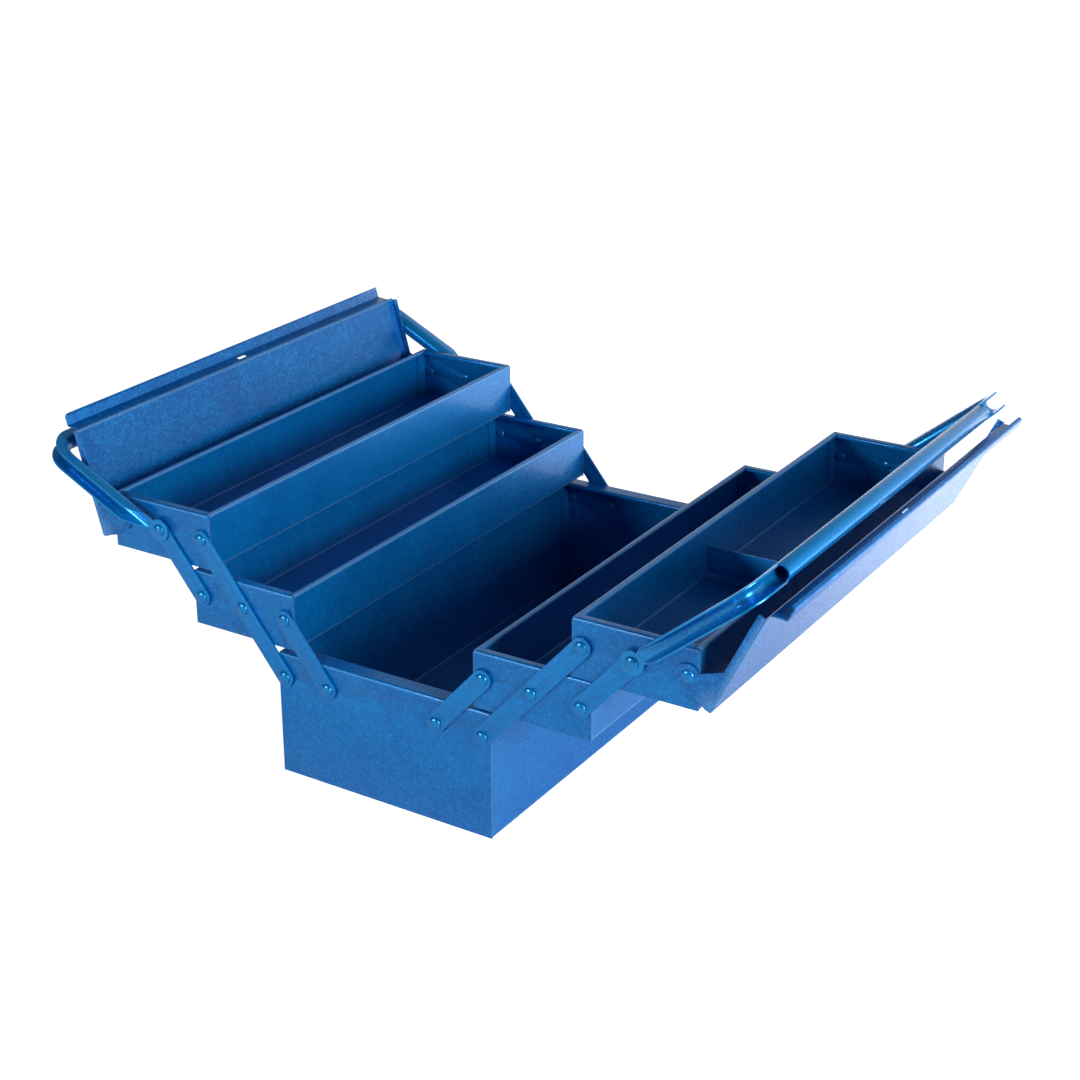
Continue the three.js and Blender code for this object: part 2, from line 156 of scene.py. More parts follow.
def filleted(path, radii, steps=5):
    """The path with each inner corner turned into an arc. Gives (point, on_fold) pairs."""
    points = [(Vector(path[0]), 0.0)]
    for i in range(1, len(path) - 1):
        corner, radius = Vector(path[i]), radii[i]
        back, on = -unit(path[i - 1], path[i]), unit(path[i], path[i + 1])
        half = back.angle(on) / 2
        reach = radius / math.tan(half)
        centre = corner + (back + on).normalized() * (radius / math.sin(half))
        start = corner + back * reach - centre
        turn = start.angle_signed(corner + on * reach - centre)
        points.append((corner + back * (reach + FOLD_FADE), 0.0))
        for k in range(steps + 1):
            spot = start.copy()
            spot.rotate(Matrix.Rotation(-turn * k / steps, 2))
            points.append((centre + spot, 1.0))
        points.append((corner + on * (reach + FOLD_FADE), 0.0))
    points.append((Vector(path[-1]), 0.0))
    return points


def in_order(points):
    """Drops fade points that would run past the next fold on a short flange."""
    kept = [points[0]]
    for i in range(1, len(points) - 1):
        (a, _), (p, fold), (b, _) = kept[-1], points[i], points[i + 1]
        if fold == 0.0 and ((p - a).dot(b - p) <= 1e-9 or (p - a).length < 1e-4):
            continue
        kept.append(points[i])
    return kept + [points[-1]]


def sheet_section(path, bend=BEND, thickness=SHEET, radii=None):
    """Closed outline of a bent sheet. Its face follows the path and its thickness is to the left."""
    if radii is None:
        radii = [bend] * len(path)
        for i in range(1, len(path) - 1):
            a, b = unit(path[i - 1], path[i]), unit(path[i], path[i + 1])
            if a.x * b.y - a.y * b.x < 0:
                radii[i] = TIGHT_BEND
    points = in_order(filleted(path, radii))
    inner = []
    for i, (p, fold) in enumerate(points):
        a = unit(points[max(i - 1, 0)][0], points[max(i, 1)][0])
        b = unit(points[min(i, len(points) - 2)][0], points[min(i + 1, len(points) - 1)][0])
        na, nb = Vector((-a.y, a.x)), Vector((-b.y, b.x))
        inner.append((p + (na + nb) * (thickness / (1 + na.dot(nb))), fold))
    return points + inner[::-1]


def arc(centre, radius, start, stop, steps):
    """Points along an arc; angles in degrees."""
    angles = [math.radians(start + (stop - start) * k / steps) for k in range(steps + 1)]
    return [(centre[0] + radius * math.cos(a), centre[1] + radius * math.sin(a)) for a in angles]


# ============================ meshes ============================

def new_object(name, bm):
    """Turns a bmesh in millimetres into an object in metres."""
    bmesh.ops.recalc_face_normals(bm, faces=bm.faces)
    mesh = bpy.data.meshes.new(name)
    bm.to_mesh(mesh)
    bm.free()
    mesh.transform(Matrix.Scale(MM, 4))
    made = bpy.data.objects.new(name, mesh)
    bpy.context.scene.collection.objects.link(made)
    return made


def swept(name, section, stations, place):
    """A closed outline carried through the stations. place(u, v, station) gives a point."""
    bm = bmesh.new()
    fold_layer = bm.verts.layers.float.new("fold")
    rings = []
    for s, end_fold in stations:
        ring = []
        for (u, v), fold in section:
            vert = bm.verts.new(place(u, v, s))
            vert[fold_layer] = max(fold, end_fold)
            ring.append(vert)
        rings.append(ring)
    for a, b in zip(rings, rings[1:]):
        for i in range(len(a)):
            j = (i + 1) % len(a)
            bm.faces.new((a[i], a[j], b[j], b[i]))
    bm.faces.new(rings[0][::-1])
    bm.faces.new(rings[-1])
    return new_object(name, bm)


# Stations along a straight sheet. Its cut ends get 0.7 of the fold mask, so they take the painted fold
# highlight too.
def straight(low, high):
    return [(low, 0.7), (low + FOLD_FADE, 0.0), (high - FOLD_FADE, 0.0), (high, 0.7)]


def plate(name, outline, y0, y1):
    """A flat plate from an outline in X-Z, between two Y planes."""
    section = [(Vector(p), 0.0) for p in outline]
    return swept(name, section, [(y0, 0.0), (y1, 0.0)], lambda u, v, s: (u, s, v))


def slab(name, low, high):
    outline = [(low[0], low[2]), (high[0], low[2]), (high[0], high[2]), (low[0], high[2])]
    return plate(name, outline, low[1], high[1])


def moved(obj, matrix):
    """Places a mesh by its vertices, in millimetres, and turns it right way out again."""
    scale = Matrix.Scale(MM, 4)
    obj.data.transform(scale @ matrix @ scale.inverted())
    if matrix.determinant() < 0:
        obj.data.flip_normals()
    return obj


def mirror_copy(obj, axis):
    twin = obj.copy()
    twin.data = obj.data.copy()
    bpy.context.scene.collection.objects.link(twin)
    return moved(twin, Matrix.Scale(-1, 4, axis))


def discard(obj):
    mesh = obj.data
    bpy.data.objects.remove(obj)
    if mesh.users == 0:
        bpy.data.meshes.remove(mesh)


def made_plain(obj, name=None):
    """The evaluated object as a plain mesh, without its modifiers."""
    name = name or obj.name
    evaluated = obj.evaluated_get(bpy.context.evaluated_depsgraph_get())
    mesh = bpy.data.meshes.new_from_object(evaluated)
    discard(obj)
    plain = bpy.data.objects.new(name, mesh)
    bpy.context.scene.collection.objects.link(plain)
    plain.name = name
    return plain


def combined(target, others, operation):
    """Joins or cuts closed meshes, one after another."""
    for other in others:
        step = target.modifiers.new(operation.lower(), "BOOLEAN")
        step.operation, step.solver, step.object = operation, "MANIFOLD", other
    result = made_plain(target)
    for other in others:
        discard(other)
    return result


def softened(obj, width, angle=35):
    """Rounds off sheared edges with a small bevel."""
    bevel = obj.modifiers.new("sheared_edges", "BEVEL")
    bevel.width = width * MM
    bevel.segments = 2
    bevel.limit_method = "ANGLE"
    bevel.angle_limit = math.radians(angle)
    bevel.use_clamp_overlap = True
    return made_plain(obj)


def finished(obj, body, material, replaced):
    """Smooth shading, finish and place in the frame."""
    mesh = obj.data
    for polygon in mesh.polygons:
        polygon.use_smooth = True
    mesh.set_sharp_from_angle(angle=math.radians(32))
    mesh.materials.clear()
    mesh.materials.append(material)
    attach(obj, body)
    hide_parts(*replaced)
    return obj


# ============================ finishes ============================

def node_group(name, inputs, outputs):
    group = bpy.data.node_groups.new(name, "ShaderNodeTree")
    for label, kind, value in inputs:
        socket = group.interface.new_socket(name=label, in_out="INPUT", socket_type=kind)
        socket.default_value = value
    for label, kind in outputs:
        group.interface.new_socket(name=label, in_out="OUTPUT", socket_type=kind)
    return group, group.nodes.new("NodeGroupInput"), group.nodes.new("NodeGroupOutput")


def maths(tree, operation, a, b=None, clamp=False):
    node = tree.nodes.new("ShaderNodeMath")
    node.operation, node.use_clamp = operation, clamp
    for socket, value in zip(node.inputs, (a, b)):
        if isinstance(value, (int, float)):
            socket.default_value = value
        elif value is not None:
            tree.links.new(value, socket)
    return node.outputs[0]


def ramp(tree, value, low, high, to_low=0.0, to_high=1.0):
    node = tree.nodes.new("ShaderNodeMapRange")
    node.interpolation_type = "SMOOTHSTEP"
    for label, number in (("From Min", low), ("From Max", high), ("To Min", to_low), ("To Max", to_high)):
        node.inputs[label].default_value = number
    tree.links.new(value, node.inputs["Value"])
    return node.outputs["Result"]


def mixed(tree, factor, a, b, blend="MIX"):
    node = tree.nodes.new("ShaderNodeMix")
    node.data_type, node.blend_type = "RGBA", blend
    for socket, value in ((node.inputs[0], factor), (node.inputs[6], a), (node.inputs[7], b)):
        if hasattr(value, "is_output"):
            tree.links.new(value, socket)
        else:
            socket.default_value = value
    return node.outputs[2]


def noise(tree, coordinates, scale, detail=2.0, roughness=0.5):
    node = tree.nodes.new("ShaderNodeTexNoise")
    node.inputs["Scale"].default_value = scale
    node.inputs["Detail"].default_value = detail
    node.inputs["Roughness"].default_value = roughness
    tree.links.new(coordinates, node.inputs["Vector"])
    return node.outputs["Fac"]


def hammered_pattern():
    """Hammer enamel: shallow round dimples, each a slightly different shade, with darker veins between."""
    group, given, out = node_group(
        "hammered_pattern",
        [
            ("Face Colour", "NodeSocketColor", (0.02, 0.2, 0.5, 1)),
            ("Vein Colour", "NodeSocketColor", (0.01, 0.1, 0.3, 1)),
            ("Dimples Per Metre", "NodeSocketFloat", 300.0),
            ("Contrast", "NodeSocketFloat", 0.6),
        ],
        [("Colour", "NodeSocketColor"), ("Gloss", "NodeSocketFloat"), ("Height", "NodeSocketFloat")],
    )
    place = group.nodes.new("ShaderNodeTexCoord").outputs["Object"]
    wobble = group.nodes.new("ShaderNodeTexNoise")
    wobble.inputs["Scale"].default_value = 180.0
    wobble.inputs["Detail"].default_value = 1.0
    group.links.new(place, wobble.inputs["Vector"])
    shift = group.nodes.new("ShaderNodeVectorMath")
    shift.operation = "MULTIPLY_ADD"
    shift.inputs[1].default_value = (0.003, 0.003, 0.003)
    group.links.new(wobble.outputs["Color"], shift.inputs[0])
    group.links.new(place, shift.inputs[2])

    cells = group.nodes.new("ShaderNodeTexVoronoi")
    cells.feature = "F1"
    group.links.new(shift.outputs[0], cells.inputs["Vector"])
    group.links.new(given.outputs["Dimples Per Metre"], cells.inputs["Scale"])
    edges = group.nodes.new("ShaderNodeTexVoronoi")
    edges.feature = "DISTANCE_TO_EDGE"
    group.links.new(shift.outputs[0], edges.inputs["Vector"])
    group.links.new(given.outputs["Dimples Per Metre"], edges.inputs["Scale"])

    vein = ramp(group, edges.outputs["Distance"], 0.02, 0.3, 1.0, 0.0)
    shade = group.nodes.new("ShaderNodeSeparateColor")
    group.links.new(cells.outputs["Color"], shade.inputs[0])
    cell_shade = ramp(group, shade.outputs[0], 0.0, 1.0, 0.0, 0.55)
    patches = ramp(group, noise(group, place, 22.0, 3.0), 0.3, 0.75, 0.0, 0.35)
    amount = maths(group, "ADD", maths(group, "MULTIPLY", vein, 0.75), cell_shade)
    amount = maths(group, "ADD", amount, patches)
    amount = maths(group, "MULTIPLY", amount, given.outputs["Contrast"], clamp=True)
    colour = mixed(group, amount, given.outputs["Face Colour"], given.outputs["Vein Colour"])
    group.links.new(colour, out.inputs["Colour"])
    group.links.new(ramp(group, edges.outputs["Distance"], 0.0, 0.35, 0.12, 0.0), out.inputs["Gloss"])
    dome = ramp(group, edges.outputs["Distance"], 0.0, 0.45, 1.0, 0.0)
    group.links.new(dome, out.inputs["Height"])
    return group


def handling_marks():
    """Dust in a few patches and fine scuffs along the length, as masks."""
    group, given, out = node_group(
        "handling_marks",
        [("Scuffs", "NodeSocketFloat", 0.5)],
        [("Dust", "NodeSocketFloat"), ("Scuff", "NodeSocketFloat")],
    )
    place = group.nodes.new("ShaderNodeTexCoord").outputs["Object"]
    group.links.new(ramp(group, noise(group, place, 9.0, 4.0, 0.6), 0.5, 0.8), out.inputs["Dust"])
    stretch = group.nodes.new("ShaderNodeMapping")
    stretch.inputs["Scale"].default_value = (700.0, 26.0, 700.0)
    stretch.inputs["Rotation"].default_value = (0.1, 0.2, 0.3)
    group.links.new(place, stretch.inputs["Vector"])
    streaks = ramp(group, noise(group, stretch.outputs[0], 1.0, 2.0), 0.68, 0.8)
    patches = ramp(group, noise(group, place, 30.0, 1.0), 0.52, 0.7)
    scuff = maths(group, "MULTIPLY", maths(group, "MULTIPLY", streaks, patches), given.outputs["Scuffs"])
    group.links.new(scuff, out.inputs["Scuff"])
    return group


HAMMERED = hammered_pattern()
MARKS = handling_marks()
# Pale blue: a painted highlight along folds and cut ends, and also the colour of the scuff marks.
FOLD_HIGHLIGHT_AND_SCUFF = (0.16, 0.36, 0.66, 1.0)


def enamel(name, face, vein, dimples, contrast, roughness, relief, metallic=0.5, scuffs=0.3):
    """Blue enamel over steel. Relief is the depth of the dimples in millimetres."""
    material = bpy.data.materials.new(name)
    material.use_nodes = True
    tree = material.node_tree
    shader = tree.nodes["Principled BSDF"]
    pattern = tree.nodes.new("ShaderNodeGroup")
    pattern.node_tree = HAMMERED
    pattern.inputs["Face Colour"].default_value = (*face, 1)
    pattern.inputs["Vein Colour"].default_value = (*vein, 1)
    pattern.inputs["Dimples Per Metre"].default_value = dimples
    pattern.inputs["Contrast"].default_value = contrast
    marks = tree.nodes.new("ShaderNodeGroup")
    marks.node_tree = MARKS
    marks.inputs["Scuffs"].default_value = scuffs

    # Paler enamel along folds and cut ends from the fold mask: a painted highlight.
    fold = tree.nodes.new("ShaderNodeAttribute")
    fold.attribute_name = "fold"
    fold_highlight = ramp(tree, fold.outputs["Fac"], 0.2, 1.0, 0.0, 0.35)
    colour = mixed(tree, fold_highlight, pattern.outputs["Colour"], FOLD_HIGHLIGHT_AND_SCUFF)
    colour = mixed(tree, marks.outputs["Scuff"], colour, FOLD_HIGHLIGHT_AND_SCUFF)
    tree.links.new(colour, shader.inputs["Base Color"])
    dusty = maths(tree, "MULTIPLY", marks.outputs["Dust"], 0.08)
    rough = maths(tree, "ADD", maths(tree, "ADD", pattern.outputs["Gloss"], roughness), dusty)
    tree.links.new(rough, shader.inputs["Roughness"])
    shader.inputs["Metallic"].default_value = metallic
    shader.inputs["Specular IOR Level"].default_value = 0.2
    shader.inputs["Coat Weight"].default_value = 0.28
    shader.inputs["Coat Roughness"].default_value = 0.14

    bump = tree.nodes.new("ShaderNodeBump")
    bump.inputs["Strength"].default_value = 0.6
    bump.inputs["Distance"].default_value = relief * MM
    tree.links.new(pattern.outputs["Height"], bump.inputs["Height"])
    tree.links.new(bump.outputs["Normal"], shader.inputs["Normal"])
    return material


FACE = (0.0005, 0.2, 0.55)
VEIN = (0.0005, 0.085, 0.32)
FINISH = {
    "panel": enamel("panel_enamel", FACE, VEIN, 420.0, 0.55, 0.3, 0.12),
    "lid": enamel("lid_enamel", (0.0005, 0.2, 0.53), VEIN, 380.0, 0.8, 0.32, 0.12),
    "link": enamel("link_enamel", (0.0005, 0.2, 0.54), VEIN, 420.0, 0.36, 0.3, 0.06),
    "rivet": enamel("rivet_enamel", (0.003, 0.19, 0.48), VEIN, 300.0, 0.3, 0.2, 0.03),
    "handle": enamel("handle_enamel", (0.004, 0.22, 0.56), (0.003, 0.15, 0.44), 300.0, 0.3, 0.22, 0.02,
                     metallic=0.6, scuffs=0.5),
    "divider": enamel("divider_enamel", FACE, VEIN, 470.0, 0.42, 0.32, 0.08),
}


# ============================ folded boxes ============================

def trough(name, low, high):
    """Floor and two long walls with turned-in rims, as one folded sheet."""
    x0, x1, z0, z1 = low.x, high.x, low.z, high.z
    path = [
        (x0 + RIM_FLANGE, z1 - RIM_LIP), (x0 + RIM_FLANGE, z1), (x0, z1), (x0, z0),
        (x1, z0), (x1, z1), (x1 - RIM_FLANGE, z1), (x1 - RIM_FLANGE, z1 - RIM_LIP),
    ]
    return swept(name, sheet_section(path), straight(low.y, high.y), lambda u, v, s: (u, s, v))


def hole_cutters(spots, y0, y1):
    return [plate("hole", arc(spot, HOLE_RADIUS, 0, 345, 23), y0, y1) for spot in spots]


def end_panel(name, low, high, flange, holes):
    """Front end panel: plate folded in at the top, corner tabs behind it and a hole for each rivet."""
    x0, x1, z0, z1 = low.x, high.x, low.z, high.z
    face = -END
    inside = face + SHEET
    fold = [(face, z0), (face, z1), (inside + flange, z1), (inside + flange, z1 - END_LIP)]
    section = sheet_section([(-y, z) for y, z in fold])
    panel = swept(name, section, straight(x0, x1), lambda u, v, s: (s, -u, v))
    rim, wall = RIM_FLANGE + GAP, SHEET + GAP
    tab_top = z1 - RIM_LIP - SHEET
    tabs = [
        slab("tab", (a, inside - SHEET / 2, z0 + 2 * SHEET), (a + SHEET, inside + CORNER_TAB, tab_top))
        for a in (x0 + wall, x1 - wall - SHEET)
    ]
    panel = combined(panel, tabs, "UNION")
    cutters = hole_cutters(holes, face - 1, inside + SHEET)
    for a, b in ((x0 - 1, x0 + rim), (x1 - rim, x1 + 1)):
        low_corner = (a, inside, z1 - BEND - 1.2 * SHEET)
        cutters.append(slab("rim_gap", low_corner, (b, inside + flange + 1, z1 + 1)))
    for corner, turn in ((x0, 1), (x1, -1)):
        notch = [(corner - turn, z1 + 1), (corner - turn, z1 - CORNER_NOTCH), (corner, z1 - CORNER_NOTCH),
                 (corner + turn * CORNER_NOTCH, z1), (corner + turn * CORNER_NOTCH, z1 + 1)]
        cutters.append(plate("notch", notch, face - 1, inside + 1))
    return softened(combined(panel, cutters, "DIFFERENCE"), 0.22)


def rivet_spots(side):
    """Where each rivet of one side sits, from its node's box."""
    spots = {}
    for name in ("base_outer", "base_inner", "lower_inner", "lower_middle", "lower_outer",
                 "upper_inner", "upper_middle"):
        low, high = box_mm(f"{side}_front_{name}_rivet")
        spots[name] = ((low.x + high.x) / 2, (low.z + high.z) / 2)
    spots["lid"] = pivots[f"{side}_lid_hinge"]
    return spots


SPOTS = {side: rivet_spots(side) for side, _ in SIDES}


def add_box(prefix, body_node, end_nodes, body, flange, holes):
    low, high = box_mm(body_node)
    finished(trough(f"{prefix}_sheet", low, high), body, FINISH["panel"], [body_node])
    low, high = box_mm(end_nodes[0])
    front = end_panel(f"{prefix}_front_panel", low, high, flange, holes)
    rear = mirror_copy(front, (0, 1, 0))
    rear.name = f"{prefix}_rear_panel"
    for panel, node in zip((front, rear), end_nodes):
        finished(panel, body, FINISH["panel"], [node])


def add_base():
    holes = [SPOTS[side][name] for side, _ in SIDES for name in ("base_outer", "base_inner")]
    add_box("base", "base_body", ["base_front_end", "base_rear_end"], "base", BASE_END_FLANGE, holes)


def add_tray(side, level):
    prefix = f"{side}_{level}_tray"
    names = ["lower_inner", "lower_middle", "lower_outer"] if level == "lower" else [
        "upper_inner", "upper_middle", "lid"]
    holes = [SPOTS[side][name] for name in names]
    ends = [f"{prefix}_{end}_end" for end, _ in ENDS]
    add_box(prefix, f"{prefix}_body", ends, prefix, TRAY_END_FLANGE, holes)


def add_divider():
    low, high = box_mm("right_upper_tray_divider")
    path = [(low.y, low.z), (high.y, low.z), (high.y, high.z)]
    stations = straight(low.x, high.x)
    divider = swept("tray_divider", sheet_section(path), stations, lambda u, v, s: (s, u, v))
    finished(softened(divider, 0.2), "right_upper_tray", FINISH["divider"],
             ["right_upper_tray_divider"])


# ============================ links ============================

def link_plate(name, first, last, holes):
    along = math.degrees(math.atan2(last[1] - first[1], last[0] - first[0]))
    half = LINK_WIDTH / 2
    outline = arc(first, half, along + 90, along + 270, 16) + arc(last, half, along - 90, along + 90, 16)
    bar = plate(name, outline, -LINK_OUTER, -LINK_INNER)
    bar = combined(bar, hole_cutters(holes, -LINK_OUTER - 1, -LINK_INNER + 1), "DIFFERENCE")
    return softened(bar, 0.45)


def add_links(side):
    spots = SPOTS[side]
    runs = {
        "long": ["base_outer", "lower_middle", "upper_inner"],
        "inner": ["base_inner", "lower_inner"],
        "outer": ["lower_outer", "upper_middle"],
    }
    for run, names in runs.items():
        holes = [spots[name] for name in names]
        front = link_plate(f"{side}_front_{run}_bar", holes[0], holes[-1], holes)
        rear = mirror_copy(front, (0, 1, 0))
        rear.name = f"{side}_rear_{run}_bar"
        for (end, _), bar in zip(ENDS, (front, rear)):
            finished(bar, f"{side}_{run}_links", FINISH["link"],
                     [f"{side}_{end}_{run}_link"])


# ============================ rivets ============================

def rivet_tree():
    """Geometry Nodes: a domed head, a shank and a tail on every point, turned by its tilt."""
    tree = bpy.data.node_groups.new("rivet_rows", "GeometryNodeTree")
    face = tree.interface
    face.new_socket(name="Points", in_out="INPUT", socket_type="NodeSocketGeometry")
    for label, value in (("Head Radius", HEAD_RADIUS), ("Head Height", HEAD_HEIGHT),
                         ("Shank Radius", SHANK_RADIUS), ("Tail Radius", TAIL_RADIUS),
                         ("Tail Height", TAIL_HEIGHT)):
        socket = face.new_socket(name=label, in_out="INPUT", socket_type="NodeSocketFloat")
        socket.default_value = value * MM
    face.new_socket(name="Finish", in_out="INPUT", socket_type="NodeSocketMaterial")
    face.new_socket(name="Rivets", in_out="OUTPUT", socket_type="NodeSocketGeometry")
    given, out = tree.nodes.new("NodeGroupInput"), tree.nodes.new("NodeGroupOutput")
    link = tree.links.new

    def math_node(operation, a, b=None):
        node = tree.nodes.new("ShaderNodeMath")
        node.operation = operation
        for socket, value in zip(node.inputs, (a, b)):
            if isinstance(value, (int, float)):
                socket.default_value = value
            elif value is not None:
                link(value, socket)
        return node.outputs[0]

    def combine(x, y, z):
        node = tree.nodes.new("ShaderNodeCombineXYZ")
        for socket, value in zip(node.inputs, (x, y, z)):
            if isinstance(value, (int, float)):
                socket.default_value = value
            else:
                link(value, socket)
        return node.outputs[0]

    def attribute(name):
        node = tree.nodes.new("GeometryNodeInputNamedAttribute")
        node.data_type = "FLOAT"
        node.inputs["Name"].default_value = name
        return node.outputs["Attribute"]

    def cylinder(side_segments):
        node = tree.nodes.new("GeometryNodeMeshCylinder")
        node.inputs["Vertices"].default_value = 24
        node.inputs["Side Segments"].default_value = side_segments
        node.inputs["Radius"].default_value = 1.0
        node.inputs["Depth"].default_value = 1.0
        return node.outputs["Mesh"]

    def dome(radius, height, way):
        """A cylinder drawn in to a dome that rises from z = 0 in the given way."""
        spot = tree.nodes.new("GeometryNodeInputPosition").outputs[0]
        split = tree.nodes.new("ShaderNodeSeparateXYZ")
        link(spot, split.inputs[0])
        turn = math_node("MULTIPLY", math_node("ADD", split.outputs[2], 0.5), 1.42)
        shrink = math_node("MULTIPLY", math_node("COSINE", turn), radius)
        rise = math_node("MULTIPLY", math_node("SINE", turn), height)
        moved_to = combine(math_node("MULTIPLY", split.outputs[0], shrink),
                           math_node("MULTIPLY", split.outputs[1], shrink),
                           math_node("MULTIPLY", rise, way))
        node = tree.nodes.new("GeometryNodeSetPosition")
        link(cylinder(7), node.inputs["Geometry"])
        link(moved_to, node.inputs["Position"])
        if way > 0:
            return node.outputs[0]
        turned = tree.nodes.new("GeometryNodeFlipFaces")
        link(node.outputs[0], turned.inputs["Mesh"])
        return turned.outputs[0]

    grip = attribute("grip")
    tilt = combine(attribute("tilt"), 0.0, 0.0)

    def on_points(shape, scale=None, slide=None):
        node = tree.nodes.new("GeometryNodeInstanceOnPoints")
        link(given.outputs["Points"], node.inputs["Points"])
        link(shape, node.inputs["Instance"])
        link(tilt, node.inputs["Rotation"])
        if scale is not None:
            link(scale, node.inputs["Scale"])
        result = node.outputs["Instances"]
        if slide is not None:
            shift = tree.nodes.new("GeometryNodeTranslateInstances")
            link(result, shift.inputs["Instances"])
            link(slide, shift.inputs["Translation"])
            result = shift.outputs[0]
        return result

    shank = tree.nodes.new("GeometryNodeTransform")
    link(cylinder(1), shank.inputs["Geometry"])
    link(combine(given.outputs["Shank Radius"], given.outputs["Shank Radius"], 1.0), shank.inputs["Scale"])
    shank.inputs["Translation"].default_value = (0, 0, -0.5)
    back = combine(0.0, 0.0, math_node("MULTIPLY", grip, -1.0))
    join = tree.nodes.new("GeometryNodeJoinGeometry")
    for part in (
        on_points(dome(given.outputs["Head Radius"], given.outputs["Head Height"], 1)),
        on_points(shank.outputs[0], scale=combine(1.0, 1.0, grip)),
        on_points(dome(given.outputs["Tail Radius"], given.outputs["Tail Height"], -1), slide=back),
    ):
        link(part, join.inputs[0])
    real = tree.nodes.new("GeometryNodeRealizeInstances")
    finish = tree.nodes.new("GeometryNodeSetMaterial")
    link(join.outputs[0], real.inputs[0])
    link(real.outputs[0], finish.inputs["Geometry"])
    link(given.outputs["Finish"], finish.inputs["Material"])
    link(finish.outputs[0], out.inputs["Rivets"])
    return tree


RIVETS = rivet_tree()


def rivet_row(name, seats):
    """One mesh of rivets. Each seat is (x, z, seat distance along Y)."""
    places = [(x, z, face, way) for x, z, face in seats for _, way in ENDS]
    mesh = bpy.data.meshes.new(name)
    mesh.from_pydata([(x * MM, way * face * MM, z * MM) for x, z, face, way in places], [], [])
    tilt = mesh.attributes.new("tilt", "FLOAT", "POINT")
    tilt.data.foreach_set("value", [-way * math.pi / 2 for *_, way in places])
    grip = mesh.attributes.new("grip", "FLOAT", "POINT")
    grip.data.foreach_set("value", [(face - TAIL_PLANE) * MM for _, _, face, _ in places])
    row = bpy.data.objects.new(name, mesh)
    bpy.context.scene.collection.objects.link(row)
    step = row.modifiers.new("rivet_rows", "NODES")
    step.node_group = RIVETS
    for item in RIVETS.interface.items_tree:
        if item.in_out == "INPUT" and item.name == "Finish":
            step[item.identifier] = FINISH["rivet"]
    return made_plain(row, name)


def add_rivets(name, body, spots, faces, nodes):
    """All the rivets that turn with one body."""
    seats = [(*SPOTS[side][spot], face + GAP) for (side, spot), face in zip(spots, faces)]
    finished(rivet_row(name, seats), body, FINISH["rivet"], nodes)


def add_all_rivets():
    both = [(side, spot) for side, _ in SIDES for spot in ("base_outer", "base_inner")]
    nodes = [f"{side}_{end}_{spot}_rivet" for side, spot in both for end, _ in ENDS]
    add_rivets("base_rivets", "base", both, [LINK_OUTER] * 4, nodes)
    for side, _ in SIDES:
        for level, names, faces in (
            ("lower", ["lower_inner", "lower_middle", "lower_outer"], [LINK_OUTER] * 3),
            ("upper", ["upper_inner", "upper_middle"], [LINK_OUTER, EYE_OUTER]),
        ):
            nodes = [f"{side}_{end}_{name}_rivet" for name in names for end, _ in ENDS]
            add_rivets(f"{side}_{level}_tray_rivets", f"{side}_{level}_tray",
                       [(side, name) for name in names], faces, nodes)


# ============================ lids ============================

def lid_sheet():
    """The lid's folded section, closed, from its hinge: x grows towards the middle of the box."""
    tray_low, tray_high = box_mm("left_upper_tray_body")
    width = tray_high.x - tray_low.x
    hinge_x, hinge_z = pivots["left_lid_hinge"]
    inset = hinge_x - tray_low.x
    lift = tray_high.z - hinge_z + LID_CLEARANCE
    run = LID_RISE / math.tan(LID_RISE_ANGLE)
    reach = width - inset - LID_EDGE_GAP - run - RIDGE_WIDTH
    edge, ridge, outer = reach + run + RIDGE_WIDTH, lift + LID_RISE, inset + LID_OVERHANG
    path = [(edge, ridge - RIDGE_LIP), (edge, ridge), (reach + run, ridge), (reach, lift),
            (-outer, lift), (-outer, lift - LID_SKIRT)]
    section = sheet_section(path, radii=[0, RIDGE_CURL, BEND + 0.5, BEND, BEND, 0])
    sheet = swept("lid", section, straight(-EAR_OUTER, EAR_OUTER), lambda u, v, s: (u, s, v))
    return sheet, reach, lift, outer, run, edge


def lid_ear(reach, lift, outer):
    top, flange = lift - SHEET / 2, lift - EAR_DEPTH
    outline = [(-outer + SHEET / 2, top), (-outer + SHEET / 2, flange - EAR_BOSS)]
    outline += arc((0, 0), EAR_BOSS, 170, 400, 22)
    outline += [(2.2 * EAR_BOSS, flange), (reach - SHEET, flange), (reach - SHEET / 2, top)]
    return plate("ear", outline, -EAR_OUTER, -LINK_INNER)


def ridge_corner(reach, edge, lift):
    """What is cut away at the front end of the ridge, with a rounded corner."""
    start, stop = reach - SHEET, edge + 2
    inset, round_off = -EAR_OUTER + RIDGE_INSET, 4.0
    outline = [(start, -EAR_OUTER - 2), (stop, -EAR_OUTER - 2)]
    outline += [(stop, inset + round_off), (edge, inset + round_off)]
    outline += arc((edge - round_off, inset + round_off), round_off, 0, -90, 6)[1:]
    outline += [(start, inset)]
    section = [(Vector(p), 0.0) for p in outline]
    return swept("corner", section, [(lift, 0.0), (lift + 2 * LID_RISE, 0.0)], lambda u, v, s: (u, v, s))


def lid_in_hinge_frame():
    sheet, reach, lift, outer, run, edge = lid_sheet()
    ear = lid_ear(reach, lift, outer)
    lid = combined(sheet, [ear, mirror_copy(ear, (0, 1, 0))], "UNION")
    slot_height, slot_length = HASP_SLOT
    middle, half = lift + LID_RISE / 2, slot_length / 2
    slot = slab("slot", (reach - run, -half, middle - slot_height / 2),
                (reach + 2 * run, half, middle + slot_height / 2))
    corner = ridge_corner(reach, edge, lift)
    lid = combined(lid, [slot, corner, mirror_copy(corner, (0, 1, 0))], "DIFFERENCE")
    return softened(lid, 0.22)


def placed(obj, side, sign, pivot, turn):
    """From a right-hand outward frame at the pivot to the side it belongs to."""
    x, z = pivot
    outward = Matrix.Rotation(turn, 4, "Y")
    flip = Matrix.Scale(-1, 4, (1, 0, 0)) if sign < 0 else Matrix.Identity(4)
    return moved(obj, Matrix.Translation((x, 0, z)) @ flip @ outward)


